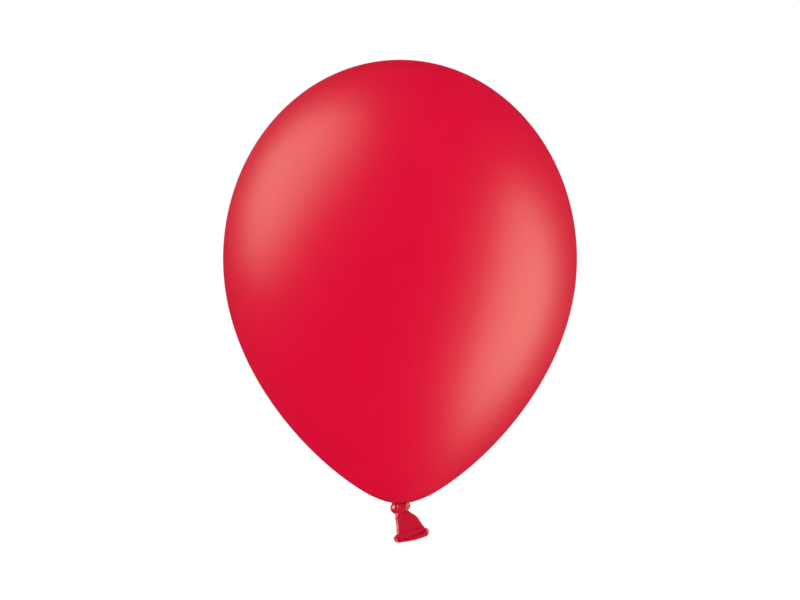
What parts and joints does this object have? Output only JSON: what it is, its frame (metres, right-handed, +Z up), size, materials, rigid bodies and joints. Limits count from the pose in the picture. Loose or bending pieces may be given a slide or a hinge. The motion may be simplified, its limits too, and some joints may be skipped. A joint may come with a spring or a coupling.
{
  "type": "latex balloon",
  "caption": "Inflated latex party balloon: egg-shaped film narrowing to a tied knot, with a short flattened tail of neck that flares to a rolled lip and bends on springy film.",
  "frame": {"origin": "the neck tie: where the inflated film closes on the pinched throat, on the balloon's axis", "axes": "+Z up through the crown, along the balloon's long axis; +X to the side the tail leans to; -Y is the front, where the strand crosses the knot"},
  "size_m": [0.3, 0.3, 0.4099],
  "materials": {
    "stretched_film": "satin",
    "slack_film": "satin"
  },
  "bodies": {
    "balloon": {"balloon_film": "stretched_film", "neck_throat": "slack_film"},
    "knot": {"knot_loop": "slack_film", "knot_tuck": "slack_film"},
    "stem": {"tail_stem": "slack_film"},
    "tail": {"neck_tail": "slack_film", "rolled_lip": "slack_film"}
  },
  "joints": [
    {"name": "neck_twist", "type": "hinge", "parent": "balloon", "child": "knot", "pos_m": [0, 0, 0], "axis": [0, 0, 1], "range_deg": [-90, 90], "stiffness_Nm_per_rad": 0.001},
    {"name": "tail_bend", "type": "hinge", "parent": "knot", "child": "stem", "pos_m": [0.0036, -0.0025, -0.0114], "axis": [0, -1, 0], "range_deg": [-45, 25], "stiffness_Nm_per_rad": 0.002},
    {"name": "tail_flap", "type": "hinge", "parent": "stem", "child": "tail", "pos_m": [0.0036, -0.0025, -0.0114], "axis": [0.9178, 0, 0.3971], "range_deg": [-60, 60], "stiffness_Nm_per_rad": 0.001}
  ]
}
